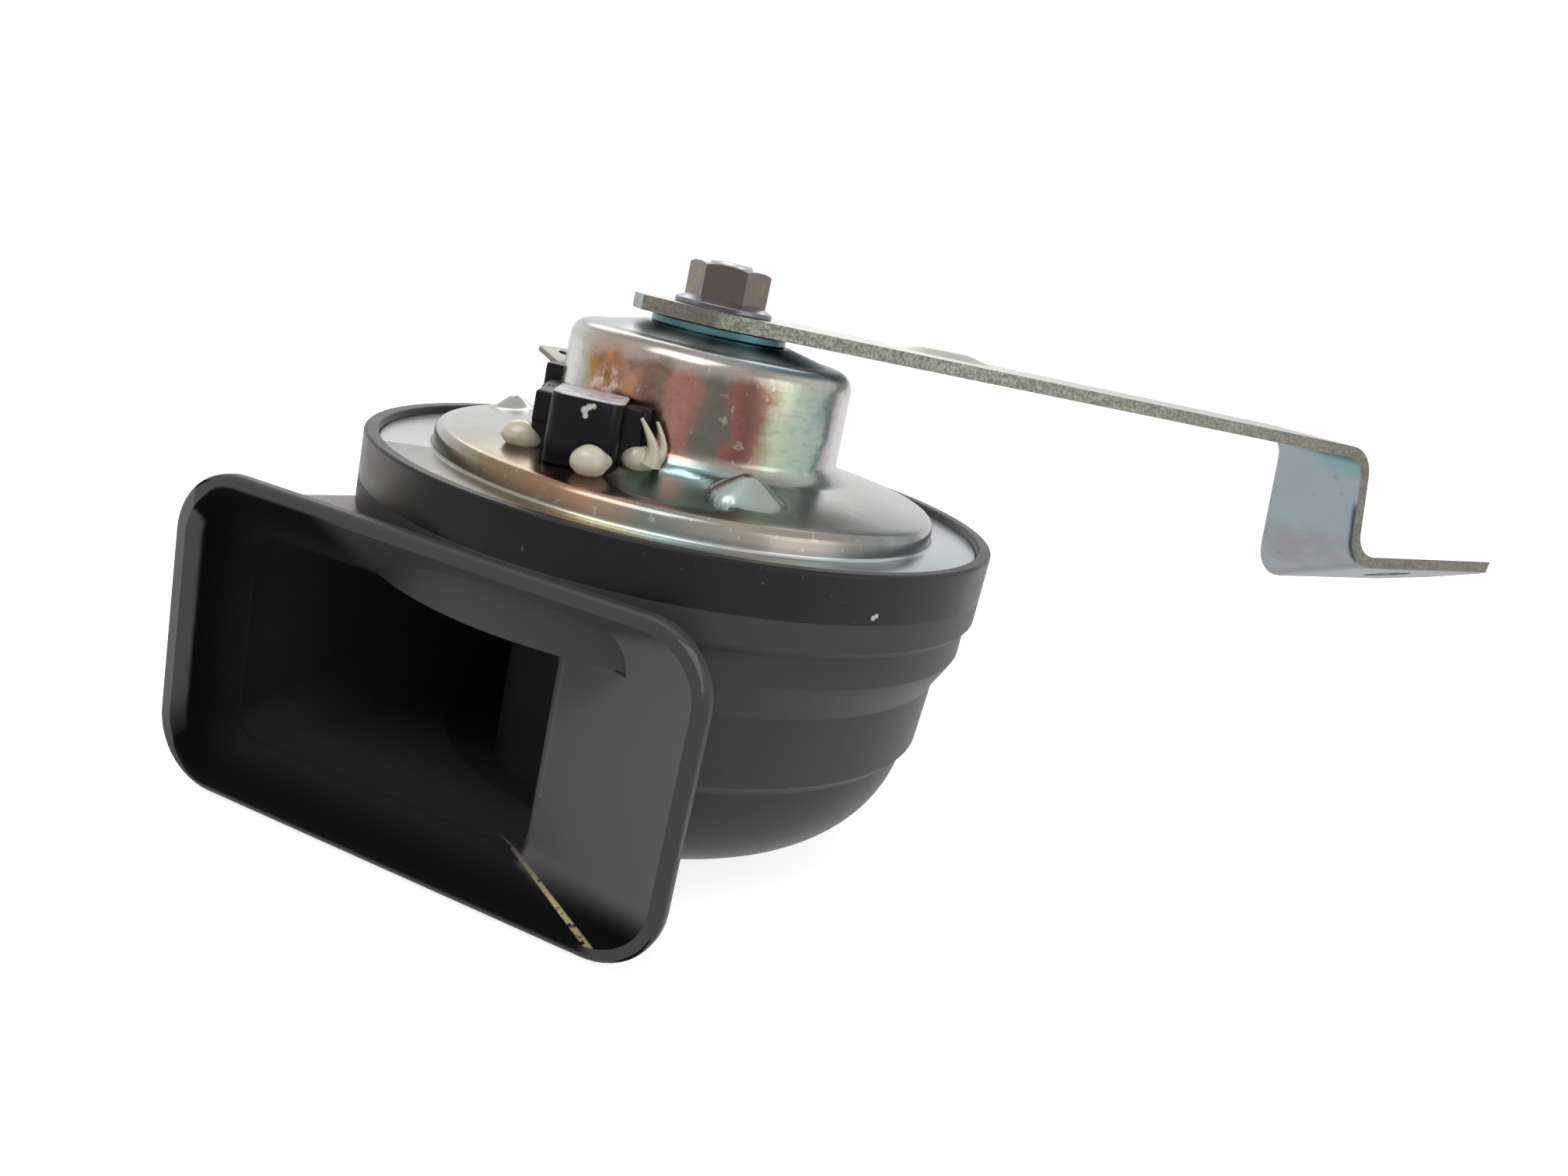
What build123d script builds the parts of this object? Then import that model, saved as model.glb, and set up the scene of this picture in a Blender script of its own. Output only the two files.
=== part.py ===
from build123d import *
import math
import os

os.makedirs("parts", exist_ok=True)

# ---- driving dimensions, mm ----
strap_t = 2.0           # bracket sheet thickness
strap_w = 20.0          # bracket strap width
arm_len = 118.8         # horn axis to the web's inner face, at its top
web_drop = 22.7         # strap underside to foot underside, on the strap's centre line
web_lean = 7.0          # how far the bottom of the web stands out from its top
foot_len = 38.0         # web's inner face to the tip of the foot
foot_roll = -20.0       # foot's tilt across the strap, degrees
foot_rise = 4.0         # foot's rise along the strap, degrees
hole_r = 4.25           # fixing hole in the foot, M8 clearance
hole_x = 24.0           # web's inner face to the fixing hole
mouth_turn = -43.7      # mouth direction, measured from the strap, degrees

rim_r = 44.9            # cover ring outside
rim_wall = 1.9          # cover ring wall
rim_top = 6.2           # cover ring top above the seam
drum_step = 1.0         # cover ring to drum rim
band_step = 2.4         # drum rim to middle band
bowl_step = 1.8         # middle band to bowl
drum_r = rim_r - drum_step
band_r = drum_r - band_step
bowl_r = band_r - bowl_step
bowl_fillet = 16.5      # bowl corner
bowl_floor = -40.6      # underside of the bowl
wall = 2.2              # plastic wall

mouth_side = 2.1        # mouth's left end beyond the ring
mouth_gap = 0.8         # mouth plane in front of the ring
mouth_w = 74.4          # mouth width
mouth_top = -0.4        # mouth's upper side
mouth_low = -42.7       # mouth's lower side
mouth_x0 = -(rim_r + mouth_side)
mouth_x1 = mouth_x0 + mouth_w
mouth_y = -(rim_r + mouth_gap)
mouth_r = 9.0           # mouth corner
edge_x = 4.5            # inner upright edge of the flare panel
flare_deep = 9.7        # mouth plane to the neck of the flare

sheet = 1.5             # steel housing sheet
flange_top = 5.1        # top of the housing flange
flange_w = 7.1          # flat flange outside the raised disc
disc_z = 8.1            # raised disc at its shoulder
cup_r = 20.1            # cup wall
cup_z = 25.3            # cup shoulder
boss_r = 10.7           # flat boss on the cup
boss_z = 27.0           # boss top
seat_z = 28.3           # bracket strap underside
nut_af = 10.0           # M6 flange nut, across flats
stud_r = 3.0            # M6 stud

plate_t = 1.6           # sound plate of the cover
gasket_t = 0.8
gasket_w = 4.5
skin_t = 0.3            # diaphragm sheet
core_r = 6.0            # pole core
gap = 1.0               # armature to pole core
seat_r = rim_r - rim_wall
disc_r = seat_r - flange_w


def arc_profile(points):
    """Closed face in XZ from (x, z, corner radius)."""
    n = len(points)
    edges = []
    starts = []
    ends = []
    mids = []
    for i in range(n):
        p = Vector(points[i][0], 0, points[i][1])
        r = points[i][2]
        if r == 0:
            starts.append(p)
            ends.append(p)
            mids.append(None)
            continue
        a = Vector(points[i - 1][0], 0, points[i - 1][1])
        b = Vector(points[(i + 1) % n][0], 0, points[(i + 1) % n][1])
        u = (a - p).normalized()
        v = (b - p).normalized()
        half = math.acos(max(-1, min(1, u.dot(v)))) / 2
        cut = r / math.tan(half)
        centre = p + (u + v).normalized() * (r / math.sin(half))
        starts.append(p + u * cut)
        ends.append(p + v * cut)
        mids.append(centre + (p - centre).normalized() * r)
    for i in range(n):
        if mids[i] is not None:
            edges.append(Edge.make_three_point_arc(starts[i], mids[i], ends[i]))
        nxt = starts[(i + 1) % n]
        if (nxt - ends[i]).length > 1e-6:
            edges.append(Edge.make_line(ends[i], nxt))
    return Face(Wire(edges))


def turned(points):
    """Solid of revolution about Z from a profile in XZ."""
    return revolve(arc_profile(points), Axis.Z)


def cyl(r, z0, z1, x=0.0, y=0.0):
    return Pos(x, y, (z0 + z1) / 2) * Cylinder(r, z1 - z0)


def ring(r0, r1, z0, z1, x=0.0, y=0.0):
    return cyl(r1, z0, z1, x, y) - cyl(r0, z0 - 1, z1 + 1, x, y)


def block(x0, x1, y0, y1, z0, z1):
    size = Box(x1 - x0, y1 - y0, z1 - z0)
    return Pos((x0 + x1) / 2, (y0 + y1) / 2, (z0 + z1) / 2) * size


def frame_at(y, x0, x1, z0, z1, r):
    """Rounded rectangle standing across Y at the given depth."""
    plane = Plane((0, y, 0), x_dir=(1, 0, 0), z_dir=(0, -1, 0))
    spot = Pos((x0 + x1) / 2, (z0 + z1) / 2)
    return plane * (spot * RectangleRounded(x1 - x0, z1 - z0, r))


# ---- snail body: drum, duct and flared mouth in one moulding ----
drum = turned([
    (0, 0, 0),
    (rim_r, 0, 0),
    (rim_r, -3.6, 0),
    (drum_r, -4.7, 0),
    (drum_r, -8.7, 0),
    (drum_r - 0.4, -9.6, 0),
    (band_r, -13.6, 0),
    (band_r - 0.4, -23.0, 0),
    (bowl_r, -24.6, 0),
    (bowl_r, bowl_floor, bowl_fillet),
    (0, bowl_floor, 0),
])
lip_deep = 1.6
lip = frame_at(mouth_y, mouth_x0, mouth_x1, mouth_low, mouth_top, mouth_r)
lip_solid = extrude(lip, amount=-lip_deep)
lip_solid = fillet(lip_solid.edges().group_by(Axis.Y)[0], 0.7)
neck_y = mouth_y + flare_deep
back_y = 12.0
panel_t = 3.4
out_a = frame_at(mouth_y + lip_deep, mouth_x0, mouth_x1, mouth_low, mouth_top, mouth_r)
out_b = frame_at(neck_y, mouth_x0 + 2.0, edge_x + panel_t, bowl_floor, -4.0, 5.0)
out_c = frame_at(back_y, 2.9 - band_r, -6.0, bowl_floor + 3.0, -5.4, 14.0)
out_d = frame_at(neck_y - 0.4, mouth_x0 + 2.1, edge_x + panel_t - 0.2, bowl_floor + 0.1, -4.2, 5.0)
horn_out = loft([out_a.face(), out_b.face()], ruled=True)
duct_out = loft([out_d.face(), out_c.face()], ruled=True)
in_y = neck_y - 0.5
in_a = frame_at(mouth_y - 0.01, mouth_x0 + 1.8, mouth_x1 - 1.8, mouth_low + 1.8, mouth_top - 1.8, 7.4)
in_b = frame_at(in_y, mouth_x0 + 4.2, edge_x, mouth_low + 3.8, -9.6, 3.4)
in_c = frame_at(back_y + 0.5, 5.1 - band_r, -8.0, bowl_floor + 5.2, -7.6, 11.8)
in_d = frame_at(in_y - 0.4, mouth_x0 + 4.4, edge_x - 0.3, mouth_low + 4.0, -9.9, 3.4)
horn_in = loft([in_a.face(), in_b.face()], ruled=True)
duct_in = loft([in_d.face(), in_c.face()], ruled=True)
hollow = turned([
    (0, 0.5, 0),
    (band_r - wall, 0.5, 0),
    (band_r - wall - 0.4, -24.0, 0),
    (bowl_r - wall, -25.6, 0),
    (bowl_r - wall, bowl_floor + wall, bowl_fillet - wall),
    (0, bowl_floor + wall, 0),
])
hollow = hollow - horn_out
duct_void = horn_in + duct_in
duct_void = duct_void - ring(band_r - wall, drum_r, -9.2, 1)
shell = drum + lip_solid
shell = shell + horn_out
shell = shell + duct_out
shell = shell - hollow
shell = shell - duct_void

# wall inside the drum: straight in from the flare's upright edge, then a spiral to the throat
rib_half = 0.9
rib_x = edge_x + rib_half + 0.3
rib_y = neck_y - 0.6
turn_x = rib_x - 6.6
turn_y = rib_y + 13.8
spiral_r0 = math.hypot(turn_x, turn_y)
start_angle = math.degrees(math.atan2(turn_y, turn_x))
spiral_end = 11.0
fall = 300.0 / math.log(spiral_r0 / spiral_end)
path = [Vector(rib_x, rib_y), Vector(rib_x - 1.9, rib_y + 4.5), Vector(rib_x - 4.1, rib_y + 9.2)]
for k in range(0, 301, 25):
    a_k = math.radians(start_angle - k)
    r_k = spiral_r0 * math.exp(-k / fall)
    path.append(Vector(r_k * math.cos(a_k), r_k * math.sin(a_k)))
mid_line = Edge.make_spline(path)
outer_pts = []
inner_pts = []
for k in range(0, 41):
    at = mid_line.position_at(k / 40)
    way = mid_line.tangent_at(k / 40)
    side_way = Vector(-way.Y, way.X) * rib_half
    outer_pts.append(at + side_way)
    inner_pts.append(at - side_way)
outer_edge = Edge.make_spline(outer_pts)
inner_edge = Edge.make_spline(inner_pts)
cap_a = Edge.make_line(outer_pts[0], inner_pts[0])
cap_b = Edge.make_line(outer_pts[-1], inner_pts[-1])
rib_face = Face(Wire([outer_edge, cap_b, inner_edge, cap_a]))
rib = extrude(rib_face, amount=50, dir=(0, 0, -1))
rib = rib & turned([
    (0, 0, 0),
    (band_r - wall / 2, 0, 0),
    (band_r - wall / 2, -24.6, 0),
    (bowl_r - wall / 2, -26, 0),
    (bowl_r - wall / 2, bowl_floor + wall / 2, bowl_fillet - wall / 2),
    (0, bowl_floor + wall / 2, 0),
])
snail = Rot(0, 0, mouth_turn) * (shell + rib)

# ---- cover: ring wall and sound plate with the throat ----
cover = turned([
    (7.0, 0, 0),
    (rim_r, 0, 0),
    (rim_r, rim_top, 0.5),
    (rim_r - rim_wall, rim_top, 0.4),
    (rim_r - rim_wall, plate_t, 0),
    (8.0, plate_t, 0.5),
])
throat = ring(7.0, 9.0, -6.0, 0)
cover = cover + throat

# ---- diaphragm stack ----
z_skin = plate_t + gasket_t
gasket_low = ring(seat_r - gasket_w, seat_r, plate_t, z_skin)
diaphragm = turned([
    (2.5, z_skin, 0),
    (seat_r, z_skin, 0),
    (seat_r, z_skin + skin_t, 0),
    (2.5, z_skin + skin_t, 0),
])
z_up = z_skin + skin_t
flange_low = flange_top - sheet
gasket_up = ring(seat_r - gasket_w, seat_r, z_up, flange_low)

# ---- steel housing: flange, raised disc, cup and boss ----
s = sheet
dome_z = 10.6           # disc top at the foot of the cup
skin_out = [
    (seat_r, flange_top, 0.3),
    (disc_r + 0.3, flange_top, 0.5),
    (disc_r, disc_z, 1.4),
    (cup_r + 1.6, dome_z, 2.4),
    (cup_r + 0.4, dome_z + 1.8, 1.6),
    (cup_r, cup_z, 2.6),
    (cup_r - 3.9, cup_z + 0.4, 1.5),
    (boss_r, boss_z, 0.8),
]
skin_in = [
    (3.5, boss_z, 0),
    (3.5, boss_z - s, 0),
    (boss_r - 0.8, boss_z - s, 0.5),
    (cup_r - 4.7, cup_z + 0.4 - s, 1.0),
    (cup_r - s, cup_z - s, 1.4),
    (cup_r + 0.4 - s, dome_z + 1.4, 1.5),
    (cup_r + 0.7, dome_z - s, 1.2),
    (disc_r - s, disc_z - s, 0.5),
    (disc_r - s, flange_low, 0),
]
housing = turned([(seat_r, flange_low, 0)] + skin_out + skin_in)
housing_full = turned([(0, 0, 0), (seat_r, 0, 0)] + skin_out + [(0, boss_z, 0)])
under = turned([
    (0, flange_low, 0),
    (disc_r - s, flange_low, 0),
    (disc_r - s, disc_z - s, 0.5),
    (cup_r + 0.7, dome_z - s, 0),
    (0, dome_z - s, 0),
])

# pressed pocket beside the terminal base, and two pressed peaks
pocket_angle = -104.0
bump_a_angle = -90.0
bump_b_angle = 143.0
mid_r = (disc_r + cup_r) / 2 - 0.6


def peak(angle, radius, z, along, across, high):
    base = Plane((radius, 0, z)) * RectangleRounded(along, across, 1.2)
    tip = Plane((radius + 0.8, 0, z + high)) * RectangleRounded(along * 0.45, 1.0, 0.3)
    return Rot(0, 0, angle) * loft([base.face(), tip.face()])


scoop = scale(Sphere(1), by=(5.6, 10.5, 2.4))
scoop = Rot(0, 0, pocket_angle) * (Pos(mid_r, 0, 11.05) * Rot(0, 9.9, 0) * scoop)
housing = housing - scoop
housing = housing + peak(bump_a_angle, mid_r + 0.2, 8.9, 10.4, 8.4, 2.8)
housing = housing + peak(bump_b_angle, mid_r + 1.6, 8.7, 6.0, 6.0, 1.9)
housing_full = housing_full + peak(bump_a_angle, mid_r + 0.2, 8.9, 10.4, 8.4, 2.8)

# ---- magnet: pole core with its stud, coil and armature ----
arm_top = 9.3
core_low = arm_top + gap
core = turned([
    (0, core_low, 0),
    (core_r, core_low, 0.4),
    (core_r, boss_z - s, 0),
    (3.5, boss_z - s, 0),
    (3.5, boss_z, 0),
    (stud_r, boss_z, 0),
    (stud_r, 36.9, 0.5),
    (0, 36.9, 0),
])
bobbin = turned([
    (core_r, 8.0, 0),
    (16.6, 8.0, 0.3),
    (16.6, 9.2, 0.3),
    (7.6, 9.2, 0),
    (7.6, 20.8, 0),
    (16.6, 20.8, 0.3),
    (16.6, 22.0, 0.3),
    (core_r, 22.0, 0),
])
winding = ring(7.6, 15.2, 9.2, 20.8)
armature = turned([
    (0, 1.0, 0),
    (2.5, 1.0, 0.3),
    (2.5, z_up, 0),
    (9.5, z_up, 0),
    (9.5, z_up + 0.9, 0.3),
    (5.5, z_up + 0.9, 0),
    (5.5, arm_top, 0.4),
    (0, arm_top, 0),
])
arm_washer = ring(2.5, 5.6, 1.4, z_skin)

# ---- contact breaker below the disc ----
brk = -86.0
z_a = 3.6
x_r = disc_r - 6.9      # contact rivets from the horn axis
x_o = x_r + 3.5
holes = cyl(1.1, 0, 9, x_r, 2.0) + cyl(1.1, 0, 9, x_r, -2.0)
fixed_arm = block(16.5, x_o, -3.5, 3.5, z_a, z_a + 0.4)
fixed_arm = fixed_arm - holes
fixed_tip = cyl(1.5, z_a + 0.4, z_a + 0.85, 18.5)
moving_tip = cyl(1.5, z_a + 0.85, z_a + 1.3, 18.5)
moving_arm = block(7.0, x_r - 3.5, -2.6, 2.6, z_a + 1.3, z_a + 1.6)
moving_arm = moving_arm + block(x_r - 4.5, x_o, -3.5, 3.5, z_a + 1.3, z_a + 1.6)
moving_arm = moving_arm - holes
spacer = block(x_r - 3.5, x_o, -3.5, 3.5, z_a + 0.4, z_a + 1.3)
spacer = spacer - holes
pusher = cyl(1.2, z_up + 0.9, z_a + 1.3, 8.2)
base = block(x_r - 3.5, x_o, -3.5, 3.5, z_a + 1.6, 11)
base = base & under
rivet_a = cyl(1.1, z_a, z_a + 2.2, x_r, 2.0) + cyl(1.7, z_a - 0.5, z_a, x_r, 2.0)
rivet_b = cyl(1.1, z_a, z_a + 2.2, x_r, -2.0) + cyl(1.7, z_a - 0.5, z_a, x_r, -2.0)
base = base - rivet_a - rivet_b
breaker = {
    "fixed_contact_arm": fixed_arm,
    "fixed_contact": fixed_tip,
    "moving_contact": moving_tip,
    "moving_contact_arm": moving_arm,
    "contact_insulator": spacer,
    "contact_pusher": pusher,
    "contact_base": base,
    "contact_rivet_a": rivet_a,
    "contact_rivet_b": rivet_b,
}

# ---- terminal base, blade and sealing beads on the disc ----
base_turn = -20.0
tower = block(-18.2, -9.2, -27.2, -18.0, 5, 17.5)
tower = fillet(tower.edges().filter_by(Axis.Z).group_by(Axis.Y)[0], 2.2)
tower = fillet(tower.edges().group_by(Axis.Z)[-1], 0.5)
ear = block(-20.5, -12.0, -22.6, -14.0, 12.8, 17.0)
seg = block(-12.0, -6.2, -23.0, -14.0, 5, 17.2)
seg = fillet(seg.edges().filter_by(Axis.Z).group_by(Axis.Y)[0], 1.2)
mid = block(-18.2, -8.0, -20.0, -10.0, 5, 16.6)
rear = block(-21.6, -15.0, -12.0, 1.0, 5, 17.9)
rear = fillet(rear.edges().filter_by(Axis.Z).group_by(Axis.X)[0], 1.0)
term = mid + tower
term = term + ear
term = term + seg
term = term + rear
blade_leg = block(-21.3, -19.0, -4.2, -3.4, 13.0, 19.2)
blade_neck = block(-21.3, -19.0, -4.2, -1.4, 18.4, 19.2)
blade_tab = block(-25.0, -18.7, -1.6, 5.2, 18.4, 19.2)
blade_tab = chamfer(blade_tab.edges().filter_by(Axis.Z).group_by(Axis.Y)[-1], 1.5)
blade = blade_leg + blade_neck
blade = blade + blade_tab
blade = blade - cyl(0.9, 18, 20, -21.9, 2.0)
hinge = Pos(0, -4.2, 18.4)
blade = hinge * Rot(9, 0, 0) * hinge.inverse() * blade
term = term - blade
term = Rot(0, 0, base_turn) * term
blade = Rot(0, 0, base_turn) * blade
blade = blade - housing_full
term = term - housing_full


def bead(x, y, z, rx, ry, rz):
    ball = scale(Sphere(1), by=(rx, ry, rz))
    ball = Rot(0, 0, base_turn) * (Pos(x, y, z) * ball)
    return ball


bead_left = bead(-21.9, -18.8, 10.6, 2.9, 2.6, 1.9)
bead_front = bead(-11.7, -28.2, 10.3, 2.8, 2.3, 2.0)
bead_right = bead(-6.8, -22.2, 10.8, 2.3, 1.9, 1.9)
keep_out = housing_full + term + housing
bead_left = bead_left - keep_out
bead_front = bead_front - keep_out
bead_right = bead_right - keep_out

# ---- spacer washer, bracket and flange nut on the stud ----
spacer_ring = turned([
    (stud_r + 0.3, boss_z, 0),
    (9.6, boss_z, 0.3),
    (9.6, seat_z, 0.3),
    (stud_r + 0.3, seat_z, 0),
])
t_s = strap_t
half_w = strap_w / 2
foot_z = seat_z - web_drop
web_x = arm_len + web_lean
lean = math.atan2(web_drop, web_lean)
over = t_s / math.sin(lean)
deep = 16.0
x_deep = web_x + web_lean * deep / web_drop
side_view = arc_profile([
    (-12.3, seat_z, 0),
    (arm_len, seat_z, 3.0),
    (x_deep, foot_z - deep, 0),
    (x_deep + over, foot_z - deep, 0),
    (arm_len + over, seat_z + t_s, 3.0 + t_s),
    (-12.3, seat_z + t_s, 0),
])
strap = extrude(side_view, amount=half_w, dir=(0, 1, 0))
strap = strap + extrude(side_view, amount=half_w, dir=(0, -1, 0))
end = Polyline([
    (-12.3, -2.2), (-4.2, -half_w), (web_x + 40, -half_w), (web_x + 40, half_w),
    (-4.2, half_w), (-12.3, 2.2), (-12.3, -2.2),
])
end = Face(Wire(end.edges()))
strap = strap & extrude(Pos(0, 0, -30) * end, amount=90, dir=(0, 0, 1))
strap = strap - cyl(stud_r + 0.3, seat_z - 1, seat_z + t_s + 1)
# the foot lies in its own tilted plane, its local origin under the web's inner face
lay = Pos(web_x, 0, foot_z) * Rot(foot_roll, 0, 0) * Rot(0, -foot_rise, 0)
strap = strap - lay * block(-30, 60, -30, 30, -60, 0)
foot_hw = half_w / math.cos(math.radians(foot_roll))
foot = Polyline([
    (0.2, -foot_hw), (foot_len - 9, -foot_hw), (foot_len, -4.0),
    (foot_len, 4.0), (foot_len - 9, foot_hw), (0.2, foot_hw), (0.2, -foot_hw),
])
foot = extrude(Face(Wire(foot.edges())), amount=t_s, dir=(0, 0, 1))
strap = strap + lay * foot
strap = strap - lay * cyl(hole_r, -3, t_s + 3, hole_x)
hole_at = (lay * Pos(hole_x, 0, 0)).position
hole_up = (lay * Pos(hole_x, 0, 1)).position - hole_at
rib_top = seat_z + t_s
stiffener = turned([(0, 0, 0), (9.0, 0, 0), (5.0, 0.9, 6.0), (0, 0.9, 0)])
stiffener = scale(stiffener, by=(1.1, 0.42, 1))
stiffener = Pos(38.0, 4.0, rib_top) * stiffener
strap = strap + stiffener

nut_low = seat_z + t_s
nut = Pos(0, 0, nut_low + 1.0) * extrude(RegularPolygon(nut_af / 2, 6, major_radius=False), 5.0)
nut_cap = turned([(0, nut_low, 0), (6.5, nut_low, 0), (6.5, nut_low + 5.3, 0), (5.1, nut_low + 6.0, 0), (0, nut_low + 6.0, 0)])
nut = Rot(0, 0, 34.4) * nut
nut = nut & nut_cap
nut = nut + turned([
    (0, nut_low, 0), (6.9, nut_low, 0.2), (6.9, nut_low + 0.7, 0.2), (5.2, nut_low + 1.5, 0), (0, nut_low + 1.5, 0),
])
nut = nut - cyl(stud_r, nut_low - 1, nut_low + 8)

nodes = {
    "snail_body": snail,
    "sound_cover": cover,
    "gasket_lower": gasket_low,
    "diaphragm": diaphragm,
    "gasket_upper": gasket_up,
    "housing": housing,
    "pole_core_stud": core,
    "coil_bobbin": bobbin,
    "coil_winding": winding,
    "armature": armature,
    "armature_washer": arm_washer,
    "terminal_base": term,
    "blade_terminal": blade,
    "sealing_bead_left": bead_left,
    "sealing_bead_front": bead_front,
    "sealing_bead_right": bead_right,
    "spacer_washer": spacer_ring,
    "bracket": strap,
    "flange_nut": nut,
}
for name in breaker:
    nodes[name] = Rot(0, 0, brk) * breaker[name]

origin = Pos(-hole_at.X, -hole_at.Y, -hole_at.Z)
for name in nodes:
    solid = origin * nodes[name]
    export_step(solid, "parts/" + name + ".step")
    box = solid.bounding_box()
    print(name, len(solid.solids()), round(solid.volume, 1), box.min, box.max)
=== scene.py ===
"""Looks of the car horn: camera, materials, shaped pieces and stage round the CAD frame."""
import bpy
import bmesh
import math
from mathutils import Matrix, Vector


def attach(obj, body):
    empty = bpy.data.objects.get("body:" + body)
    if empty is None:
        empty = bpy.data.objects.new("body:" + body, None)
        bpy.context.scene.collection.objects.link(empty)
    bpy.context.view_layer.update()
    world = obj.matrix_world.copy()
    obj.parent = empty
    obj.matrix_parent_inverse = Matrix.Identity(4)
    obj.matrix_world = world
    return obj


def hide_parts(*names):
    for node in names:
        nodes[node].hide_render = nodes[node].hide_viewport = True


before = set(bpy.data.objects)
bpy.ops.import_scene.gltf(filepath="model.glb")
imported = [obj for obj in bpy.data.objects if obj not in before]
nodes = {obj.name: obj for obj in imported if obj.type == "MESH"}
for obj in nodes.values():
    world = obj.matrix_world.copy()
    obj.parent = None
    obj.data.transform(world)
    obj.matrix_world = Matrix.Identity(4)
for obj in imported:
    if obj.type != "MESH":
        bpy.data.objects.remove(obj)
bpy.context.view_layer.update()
scene = bpy.context.scene
MM = 0.001
AX = Vector((-0.149742, -0.000573, -0.007173))     # horn axis at the seam, in the row frame

# Sizes of the part, in millimetres about the horn axis at the seam.
MOUTH_TURN, BASE_TURN = 43.7, 20.0       # degrees that bring the mouth, and the base, square
MOUTH_LEFT, MOUTH_RIGHT, MOUTH_LOW, MOUTH_TOP = -47.0, 27.4, -42.7, -0.4
MOUTH_Y, MOUTH_CORNER = -45.7, 9.0       # mouth plane, once square, and corner radius
SEAT_R, FLANGE_TOP, DISC_R, DISC_Z = 43.0, 5.1, 35.9, 8.1
DOME_Z, CUP_R, CUP_Z, BOSS_R, BOSS_Z, SHEET = 10.6, 20.1, 25.3, 10.7, 27.0, 1.5
SEAT_Z, STRAP_T, HALF_W = 28.3, 2.0, 10.0          # strap: underside, thickness, half width

# ------------------------------------------------------------ camera
YAW, PITCH, ROLL, SPIN = (math.radians(a) for a in (5.94, 14.73, 12.93, -20.0))
EYE = (0, -165.07, 36.11)                # camera's place before the spin about the horn axis
FOCAL_PX, PHOTO_W, SENSOR_MM = 1465.3, 2016, 36.0

upright = Matrix(((1, 0, 0), (0, 0, -1), (0, 1, 0)))
tilt = (Matrix.Rotation(ROLL, 3, "Z") @ Matrix.Rotation(PITCH, 3, "X")
        @ Matrix.Rotation(-YAW, 3, "Y") @ upright)
spin = Matrix.Rotation(SPIN, 3, "Z")
right, down, ahead = (spin @ tilt.row[i].to_3d() for i in range(3))
cam_data = bpy.data.cameras.new("camera")
cam = bpy.data.objects.new("camera", cam_data)
scene.collection.objects.link(cam)
cam_data.sensor_width = SENSOR_MM
cam_data.lens = FOCAL_PX / PHOTO_W * SENSOR_MM
cam_data.clip_start = 0.01
pose = Matrix((right, -down, -ahead)).transposed().to_4x4()
pose.translation = spin @ Vector(EYE) * MM + AX
cam.matrix_world = pose
bpy.context.scene.camera = cam


def world_at(x, y, z):
    """Row-frame point from millimetres about the horn axis."""
    return AX + Vector((x, y, z)) * MM


# ------------------------------------------------------------ materials
FINE = 0.55        # noise roughness under bumps, a little smoother than in colours


def lin(r, g, b):
    """Linear colour from 0 to 255 display values."""
    shares = (v / 255 for v in (r, g, b))
    return tuple(v / 12.92 if v <= 0.04 else ((v + 0.055) / 1.055) ** 2.4 for v in shares)


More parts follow.
